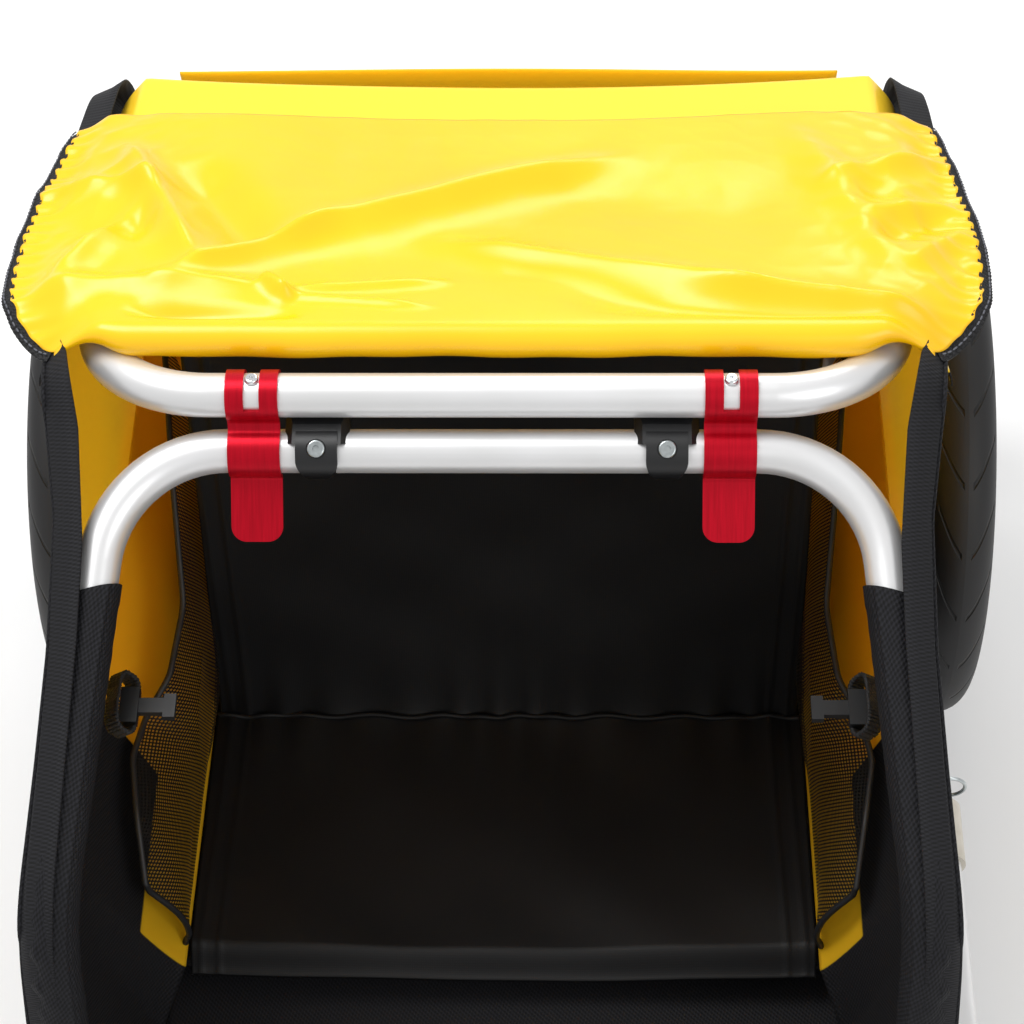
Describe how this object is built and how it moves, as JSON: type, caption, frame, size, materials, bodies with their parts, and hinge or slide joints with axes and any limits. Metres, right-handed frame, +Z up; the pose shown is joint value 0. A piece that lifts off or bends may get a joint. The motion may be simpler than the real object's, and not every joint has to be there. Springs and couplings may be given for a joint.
{
  "type": "child bicycle trailer",
  "caption": "Child trailer with folding hoops, clips, fabric body with the front cover thrown back, spoked wheels and a plug-in tow bar.",
  "frame": {"origin": "on the ground, under the middle of the whole trailer with its tow bar", "axes": "+X to the trailer's left, +Y to its rear, +Z up"},
  "size_m": [0.734, 1.395, 0.6984],
  "materials": {
    "satin_aluminium": "satin, clear anodised",
    "rim_aluminium": "brushed",
    "hub_aluminium": "turned",
    "cast_grey": "cast and painted warm grey",
    "zinc_steel": "zinc plated",
    "bright_screw": "nickel plated",
    "spoke_steel": "stainless wire",
    "red_anodised": "satin, red anodised",
    "black_plastic": "fine texture",
    "button_grey": "smooth",
    "valve_black": "moulded",
    "reflector_amber": "prismatic",
    "tyre_rubber": "moulded tread",
    "coupling_rubber": "smooth moulded",
    "black_twill": "coarse twill polyester",
    "black_lining": "plain weave nylon",
    "webbing": "woven webbing",
    "yellow_fabric": "glossy coated polyester",
    "black_mesh": "open net"
  },
  "bodies": {
    "floor_frame": {"side_rail_left": "satin_aluminium", "side_rail_right": "satin_aluminium", "rail_caps": "black_plastic", "cross_tubes": "satin_aluminium", "axle_tube": "satin_aluminium", "axle_saddles": "black_plastic", "axle_sockets": "cast_grey", "hoop_brackets": "black_plastic", "pivot_pins": "zinc_steel", "floor_panel": "black_lining", "axle_pins": "zinc_steel", "tow_socket": "cast_grey", "socket_bolts": "zinc_steel", "tow_guide": "black_plastic", "side_panel_left": "yellow_fabric", "side_panel_right": "yellow_fabric", "side_skirts": "black_twill", "front_apron": "black_twill", "seat_base": "black_lining", "seat_straps": "webbing", "seat_back": "black_lining", "rear_wall": "black_lining", "mesh_pocket_left": "black_mesh", "mesh_pocket_right": "black_mesh"},
    "front_hoop": {"front_hoop": "satin_aluminium", "spacer_left": "black_plastic", "spacer_right": "black_plastic", "spacer_bolts": "zinc_steel", "sleeve_left": "black_twill", "sleeve_right": "black_twill", "pocket_hooks": "black_plastic", "hook_loops": "webbing"},
    "rear_hoop": {"rear_hoop": "satin_aluminium", "clip_screws": "bright_screw", "roof_cover": "yellow_fabric", "front_flap": "yellow_fabric"},
    "clip_left": {"clip_left": "red_anodised"},
    "clip_right": {"clip_right": "red_anodised"},
    "wheel_left": {"tyre_left": "tyre_rubber", "rim_left": "rim_aluminium", "spokes_left": "spoke_steel", "hub_left": "hub_aluminium", "valve_left": "valve_black", "wheel_reflector_left": "reflector_amber"},
    "wheel_right": {"tyre_right": "tyre_rubber", "rim_right": "rim_aluminium", "spokes_right": "spoke_steel", "hub_right": "hub_aluminium", "valve_right": "valve_black", "wheel_reflector_right": "reflector_amber"},
    "release_button_left": {"release_button_left": "button_grey"},
    "release_button_right": {"release_button_right": "button_grey"},
    "tow_bar": {"tow_bar": "satin_aluminium", "flex_coupling": "coupling_rubber", "hitch_tongue": "zinc_steel", "hitch_pin": "zinc_steel"},
    "hitch_fork": {"hitch_fork": "zinc_steel"},
    "lock_pin": {"lock_pin": "zinc_steel", "pull_ring": "zinc_steel"}
  },
  "joints": [
    {"name": "front_hoop_fold", "type": "hinge", "parent": "floor_frame", "child": "front_hoop", "pos_m": [0, -0.1925, 0.264], "axis": [-1, 0, 0], "range_deg": [0, 45], "deforming": ["side_panel_left", "side_panel_right", "side_skirts", "front_apron", "seat_back", "rear_wall", "mesh_pocket_left", "mesh_pocket_right"]},
    {"name": "rear_hoop_fold", "type": "hinge", "parent": "floor_frame", "child": "rear_hoop", "pos_m": [0, 0.6225, 0.264], "axis": [1, 0, 0], "range_deg": [0, 27]},
    {"name": "clip_left_turn", "type": "hinge", "parent": "rear_hoop", "child": "clip_left", "pos_m": [0.136, 0.17016, 0.67205], "axis": [-1, 0, 0], "range_deg": [0, 60]},
    {"name": "clip_right_turn", "type": "hinge", "parent": "rear_hoop", "child": "clip_right", "pos_m": [-0.136, 0.17016, 0.67205], "axis": [-1, 0, 0], "range_deg": [0, 60]},
    {"name": "wheel_left_spin", "type": "hinge", "parent": "floor_frame", "child": "wheel_left", "pos_m": [0.327, 0.4975, 0.2], "axis": [1, 0, 0], "continuous": true},
    {"name": "wheel_right_spin", "type": "hinge", "parent": "floor_frame", "child": "wheel_right", "pos_m": [-0.327, 0.4975, 0.2], "axis": [1, 0, 0], "continuous": true},
    {"name": "release_button_left_press", "type": "slide", "parent": "floor_frame", "child": "release_button_left", "axis": [-1, 0, 0], "range_m": [0, 0.0015], "stiffness_N_per_m": 800},
    {"name": "release_button_right_press", "type": "slide", "parent": "floor_frame", "child": "release_button_right", "axis": [1, 0, 0], "range_m": [0, 0.0015], "stiffness_N_per_m": 800},
    {"name": "tow_bar_pull", "type": "slide", "parent": "floor_frame", "child": "tow_bar", "axis": [0, -1, 0], "range_m": [0, 0.06]},
    {"name": "hitch_fork_swing", "type": "hinge", "parent": "tow_bar", "child": "hitch_fork", "pos_m": [0.12, -0.6515, 0.247], "axis": [0, 0, 1], "range_deg": [-60, 60]},
    {"name": "lock_pin_drop", "type": "slide", "parent": "floor_frame", "child": "lock_pin", "axis": [0, 0, -1], "range_m": [0, 0.034]}
  ],
  "couplings": [
    {"joint": "rear_hoop_fold", "follows": "front_hoop_fold", "ratio": 0.6}
  ]
}
